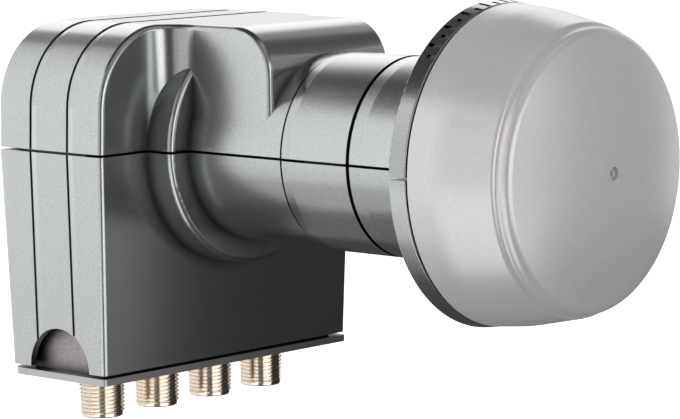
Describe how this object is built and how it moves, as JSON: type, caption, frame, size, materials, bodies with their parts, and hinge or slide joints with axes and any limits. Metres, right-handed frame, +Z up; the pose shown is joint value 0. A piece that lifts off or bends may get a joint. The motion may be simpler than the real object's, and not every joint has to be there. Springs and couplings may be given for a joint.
{
  "type": "satellite lnb",
  "caption": "Satellite LNB with a round clamp neck, a hooded box, a capped feed horn and threaded F outputs under a metal plate.",
  "frame": {"origin": "on the axis of the neck, in the middle of the plain length that the dish clamp holds", "axes": "-Y along the horn's boresight, +X across the width, +Z up with the outputs pointing down"},
  "size_m": [0.0754, 0.1281, 0.0873],
  "materials": {
    "cover_paint": "satin metallic grey",
    "cap_plastic": "fine matt grain, light grey",
    "plate_metal": "plain sheet",
    "nickel": "nickel plated",
    "die_cast": "as cast",
    "steel": "zinc plated",
    "seal": "matt black",
    "insulator": "white",
    "contact": "plated brass",
    "board": "green laminate",
    "copper": "copper strip",
    "ceramic": "fired ceramic",
    "chip": "black moulded",
    "absorber": "dark foam"
  },
  "bodies": {
    "root": {"upper_cover": "cover_paint", "lower_cover": "cover_paint", "feed_cap": "cap_plastic", "connector_plate": "plate_metal", "f_connector_1": "nickel", "f_connector_2": "nickel", "f_connector_3": "nickel", "f_connector_4": "nickel", "housing": "die_cast", "feed_horn": "die_cast", "rear_lid": "die_cast", "backshort_shield": "die_cast", "horn_screw_1": "steel", "horn_screw_2": "steel", "horn_screw_3": "steel", "horn_screw_4": "steel", "lid_screw_1": "steel", "lid_screw_2": "steel", "lid_screw_3": "steel", "lid_screw_4": "steel", "lid_screw_5": "steel", "lid_screw_6": "steel", "plate_screw_1": "steel", "plate_screw_2": "steel", "shield_screw_1": "steel", "shield_screw_2": "steel", "shield_screw_3": "steel", "shield_screw_4": "steel", "cap_seal": "seal", "horn_seal": "seal", "lid_gasket": "seal", "insulator_1": "insulator", "insulator_2": "insulator", "insulator_3": "insulator", "insulator_4": "insulator", "contact_1": "contact", "contact_2": "contact", "contact_3": "contact", "contact_4": "contact", "tuning_screw_1": "contact", "tuning_screw_2": "contact", "main_board": "board", "probe_h": "copper", "probe_v": "copper", "resonator_1": "ceramic", "resonator_2": "ceramic", "switch_chip": "chip", "regulator_chip": "chip", "absorber_pad": "absorber"}
  },
  "joints": []
}
